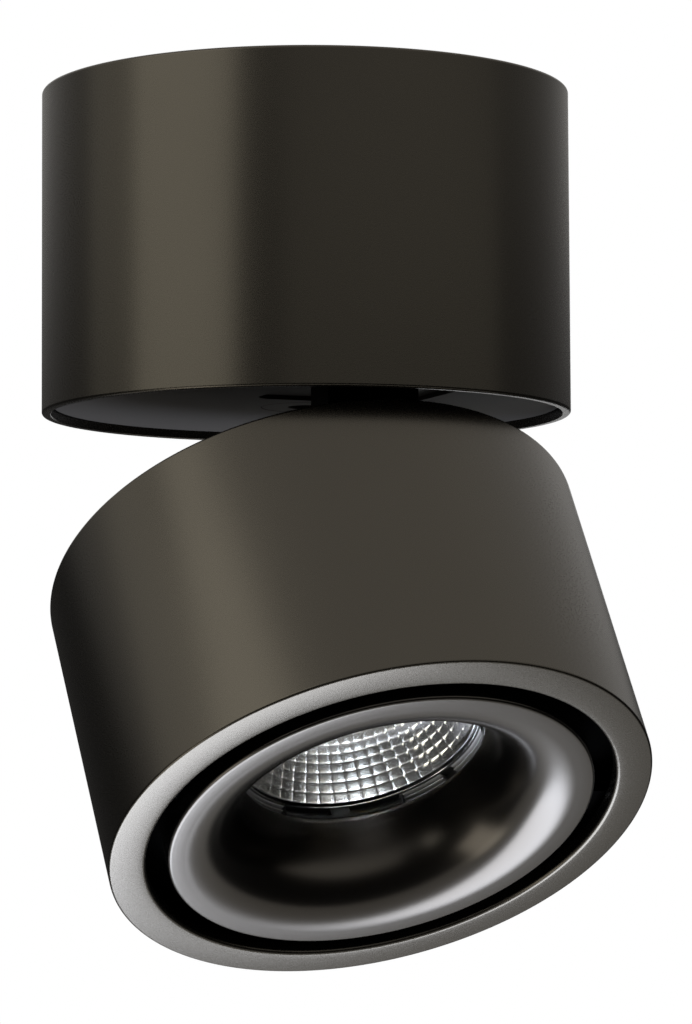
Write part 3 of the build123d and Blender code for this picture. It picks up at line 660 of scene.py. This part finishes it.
# ---------------------------------------------------------------- head: baffle and groove
# a skirt, a lip with a soft crown and a rounded edge, and a bell down to the throat
front = head_length
lip_side = front - 0.1 - lip_round
throat = front - baffle_depth
outside = rounded([
    (lip_radius - sheet, front - skirt_depth, 0.2), (lip_radius, front - skirt_depth, 0.2),
    (lip_radius, lip_side), (lip_radius - sheet, lip_side),
])[:-2] + crowned(lip_top, front, lip_radius, lip_round, bell_radius, 0, (lip_bend, lip_bend))
inner_curve = smooth_curve(
    (bell_radius, front), (bell_radius - lip_handle, front),
    (throat_radius + throat_draft, throat + 0.3 + throat_handle), (throat_radius, throat + 0.3),
)
outer_curve = smooth_curve(
    (throat_radius + sheet, throat), (throat_radius + sheet + throat_draft, throat + throat_handle),
    (bell_radius - lip_handle + sheet, front - sheet), (bell_radius, front - sheet),
)
bell = turned("bell", down(
    outside + inner_curve[1:] + [(throat_radius + 0.1, throat)] + outer_curve + [(lip_radius - sheet, front - sheet)]
))
piece(bell, "bell_baffle", "head", "baffle_finish", ["baffle"], angle=45, place=head_place)

carrier_outer = head_inner - clearance
# the carrier runs on as a thin black sheet along the head's inner wall up to the rim, painted shade that hides the
# wall
shade_liner_front = rim_back - clearance
carrier = turned("carrier", rounded(down([
    (carrier_outer, carrier_back, 0.2), (carrier_outer, shade_liner_front, 0.1),
    (carrier_outer - shade_liner, shade_liner_front, 0.1), (carrier_outer - shade_liner, carrier_front, 0.3),
    (carrier_inner, carrier_front, 0.3), (carrier_inner, carrier_back, 0.2),
])))
# painted shade: the groove ring wears the unlit black rather than its own black plastic
piece(carrier, "groove_ring", "head", "black_plastic", ["trim_carrier"], place=head_place, finish="painted_shade_black")

# ---------------------------------------------------------------- head: optic
retainer = turned("retainer", rounded(down([
    (retainer_outer, retainer_back, 0.1), (retainer_outer, retainer_front, 0.2), (throat_radius, retainer_front, 0.25),
    (throat_radius, retainer_back, 0.1),
])))
seat = cover_front + clearance
cuts = []
grips = []
for group in THIRDS:
    for start, end in bayonet_angles:
        cuts.append(arc_prism("slot", start + group, end + group, throat_radius - 2.9, bayonet_depth,
                              retainer_front - 2.2, retainer_front - 0.7))
    start, end = recess_angles
    cuts.append(arc_prism("recess", start + group, end + group, throat_radius - 2.9, recess_depth,
                          seat, retainer_front + OVER))
    for start, end in grip_angles:
        for k in range(grip_count):
            low = seat + grip_pitch * k
            grips.append(arc_prism("grip", start + group, end + group, throat_radius + grip_step * k, recess_depth,
                                   low, low + grip_thickness))
cut(retainer, *cuts)
bevelled(retainer, 0.08)
piece(retainer, "cover_retainer", "head", "black_plastic", ["lens_retainer"], place=head_place)
# painted highlight: the grip ribs wear the light grey instead of the clear cover's finish
grips = bevelled(joined(grips), 0.1)
piece(grips, "cover_grip_ribs", "head", "clear_cover", place=head_place, finish="painted_glint_grey")

cover_step = cover_back + 0.8
cover_radius = throat_radius - 0.2
cover = turned("cover", rounded(down([
    (0, cover_back), (optic_flange, cover_back, 0.15), (optic_flange, cover_step, 0.15),
    (cover_radius, cover_step, 0.1), (cover_radius, cover_front, 0.3), (0, cover_front),
])))
piece(cover, "clear_disc", "head", "clear_cover", ["cover_lens"], place=head_place)

# the reflector: a parabolic bowl, with pillow facets inside and a plain flange and back
rise = (optic_mouth ** 2 - optic_base ** 2) / (optic_front - optic_back)
facet_turns = [k + step for k in range(facets_round) for step in facet_steps]
facet_levels = [k + step for k in range(facet_rows) for step in facet_steps] + [facet_rows]


def bowl_radius(share):
    """The bowl's radius at a share of the way from its mouth to its base."""
    return optic_mouth - (optic_mouth - optic_base) * share


def bowl_height(radius):
    return (radius ** 2 - optic_base ** 2) / rise


def bowl_point(turn, row):
    """A point on the faceted bowl: turn in facets round, row in facets down from the mouth."""
    radius = bowl_radius(row / facet_rows)
    height = bowl_height(radius)
    bulge = facet_bulge * (2 - abs(2 * (turn % 1.0) - 1) ** 5 - abs(2 * (row % 1.0) - 1) ** 5)
    angle = 2 * pi * turn / facets_round
    slope = 2 * radius / rise
    length = hypot(1, slope)
    radius += bulge * slope / length
    height -= bulge / length
    return (radius * cos(angle), radius * sin(angle), head_back - optic_back - height)


def ring_points(radius, depth):
    angles = [2 * pi * turn / facets_round for turn in facet_turns]
    return [(radius * cos(angle), radius * sin(angle), head_back - depth) for angle in angles]


def skin(rings, first):
    """Faces between neighbouring rings, whose points are numbered from first."""
    count = len(facet_turns)
    return [
        (a + step, a + (step + 1) % count, a + count + (step + 1) % count, a + count + step)
        for a in range(first, first + (len(rings) - 1) * count, count) for step in range(count)
    ]


bowl_rings = [[bowl_point(turn, row) for turn in facet_turns] for row in facet_levels]
flange_back = optic_front - 1.0
back_rings = [ring_points(radius, depth) for radius, depth in (
    (optic_mouth, optic_front), (optic_flange, optic_front), (optic_flange, flange_back),
    (optic_mouth + 0.4, flange_back),
    *[(bowl_radius(k / 12) + 1.2, optic_back + bowl_height(bowl_radius(k / 12))) for k in range(1, 13)],
    (optic_base, optic_back),
)]
verts = [point for ring in bowl_rings + back_rings for point in ring]
faces = skin(bowl_rings, 0) + skin(back_rings, len(bowl_rings) * len(facet_turns))
piece(mesh_object("bowl", verts, faces), "faceted_reflector", "head", "mirror_optic", ["reflector"], angle=20,
      place=head_place)

emitter_front = board_front + emitter_height
emitter = turned("emitter", rounded(down([
    (0, board_front), (emitter_radius, board_front), (emitter_radius, emitter_front, 0.25), (0, emitter_front),
])), 96)
piece(emitter, "light_emitter", "head", "phosphor", ["cob_emitter"], place=head_place)


# ---------------------------------------------------------------- head: the baffle's springs in the groove
def holder():
    near, far = holder_ends
    bottom, gap = holder_gap
    block = prism("holder", rounded([
        (near, -holder_half, 0.2), (far, -holder_half, 0.4), (far, holder_half, 0.4), (near, holder_half, 0.2),
        (near, gap, 0.1), (bottom, gap, 0.1), (bottom, -gap, 0.1), (near, -gap, 0.1),
    ]), head_back - carrier_front - holder_height, head_back - carrier_front)
    return bevelled(block, 0.2)


def spring():
    wire = turned("spring", rounded([
        (0, -spring_half), (spring_radius, -spring_half, 0.25), (spring_radius, spring_half, 0.25), (0, spring_half),
    ]), 32)
    wire.data.transform(Matrix.Rotation(pi / 2, 4, "X"))
    return move(wire, spring_circle, 0, head_back - carrier_front - holder_height / 2)


# painted shade: the spring holders wear the unlit black too
piece(joined(around(holder, OPPOSITE)), "spring_holders", "head", "black_plastic", ["clip_blocks"],
      place=head_place, finish="painted_shade_black")
piece(joined(around(spring, OPPOSITE)), "grip_springs", "head", "spring_steel", ["clip_springs"], place=head_place)

# ---------------------------------------------------------------- the CAD nodes that show as they are
for obj in frame["nodes"].values():
    for material_slot in obj.material_slots:
        if material_slot.material and material_slot.material.name in materials:
            material_slot.material = materials[material_slot.material.name]

# ---------------------------------------------------------------- floor and camera
floor_z = -2200
floor_radius = 2400
floor_low = floor_z - 2
ground = turned("ground", [(0, floor_z), (floor_radius, floor_z), (floor_radius, floor_low), (0, floor_low)], 128)
ground.data.materials.append(finish_of("floor", (0.8, 0.8, 0.79), 0.7, tint=0.01, bump=0.0))
ground.name = "studio_floor"

camera_place = Vector((-0.3105, -0.7358, -0.1472))
heading = radians(-22.88)      # from +Y to the part's middle
camera = bpy.data.objects.new("camera", bpy.data.cameras.new("camera"))
bpy.context.scene.collection.objects.link(camera)
camera.matrix_world = (
    Matrix.Translation(camera_place)
    @ Matrix.Rotation(heading, 4, "Z") @ Matrix.Rotation(radians(-0.53), 4, "Z")
    @ Matrix.Rotation(radians(90 + 4.83), 4, "X") @ Matrix.Rotation(radians(-0.27), 4, "Z")
)
camera.data.lens = 149.14
camera.data.sensor_width = 36.0
camera.data.sensor_fit = "AUTO"
bpy.context.scene.camera = camera

# ---------------------------------------------------------------- light
part_middle = Vector((0, -0.015, -0.085))
trim_middle = Vector((0, -0.02, -0.13))
to_right = Vector((cos(heading), sin(heading), 0))
away = Vector((-sin(heading), cos(heading), 0))
white = (1.0, 1.0, 1.0)
warm = (1.0, 0.97, 0.88)
amber = (1.0, 0.94, 0.84)
cool = (0.93, 0.995, 1.15)


def softbox(name, direction, distance, width, height, radiance, colour, aim=part_middle, shape="RECTANGLE"):
    """An area light seen from the part in a direction given as right, away and up from the camera's side."""
    data = bpy.data.lights.new(name, "AREA")
    data.shape = shape
    data.size = width
    data.size_y = height
    data.energy = radiance * pi * width * height * (1 if shape == "RECTANGLE" else pi / 4)
    data.color = colour
    light = bpy.data.objects.new(name, data)
    bpy.context.scene.collection.objects.link(light)
    right, back, up = direction
    offset = (to_right * right + away * back + Vector((0, 0, up))).normalized()
    light.location = aim + offset * distance
    light.rotation_euler = (-offset).to_track_quat("-Z", "Y").to_euler()
    light.visible_camera = False


softbox("low_box", (-0.06, 0.16, -0.985), 1.25, 0.97, 0.97, 13.0, cool, trim_middle, "ELLIPSE")
softbox("left_box", (-0.74, -0.55, 0.37), 1.0, 0.85, 0.85, 1.7, warm)
softbox("fill_box", (-0.71, -0.45, -0.6), 1.0, 0.45, 0.6, 2.6, amber, trim_middle)
softbox("front_box", (0.64, -0.77, 0.2), 1.3, 3.0, 0.3, 0.38, warm)
softbox("side_box", (-0.95, -0.02, 0.3), 1.0, 0.55, 0.4, 0.6, warm)
softbox("back_strip", (0.12, 0.99, 0.05), 1.5, 0.25, 0.6, 1.0, white)

# the world: white behind the part, and for its light a sky that fades out below the horizon
sky_levels = ((0.1, 0.03), (0.18, 0.4), (0.3, 0.58), (0.5, 0.75), (0.75, 1.0))
world = bpy.data.worlds.new("studio")
bpy.context.scene.world = world
world.use_nodes = True
nodes = world.node_tree.nodes
links = world.node_tree.links
nodes.clear()
direction = nodes.new("ShaderNodeTexCoord")
split = nodes.new("ShaderNodeSeparateXYZ")
links.new(direction.outputs["Generated"], split.inputs["Vector"])
sky = nodes.new("ShaderNodeValToRGB")
for height, level in sky_levels:
    element = sky.color_ramp.elements.new(height)
    element.color = (level, level * 0.97, level * 0.93, 1)
sky.color_ramp.elements.remove(sky.color_ramp.elements[0])
sky.color_ramp.elements.remove(sky.color_ramp.elements[-1])
links.new(split.outputs["Z"], sky.inputs["Fac"])
sky_light = nodes.new("ShaderNodeBackground")
links.new(sky.outputs["Color"], sky_light.inputs["Color"])
backdrop = nodes.new("ShaderNodeBackground")
backdrop.inputs["Color"].default_value = (1, 1, 1, 1)
path = nodes.new("ShaderNodeLightPath")
either = nodes.new("ShaderNodeMixShader")
output = nodes.new("ShaderNodeOutputWorld")
links.new(path.outputs["Is Camera Ray"], either.inputs["Fac"])
links.new(sky_light.outputs["Background"], either.inputs[1])
links.new(backdrop.outputs["Background"], either.inputs[2])
links.new(either.outputs["Shader"], output.inputs["Surface"])
bpy.context.scene.view_settings.view_transform = "Standard"
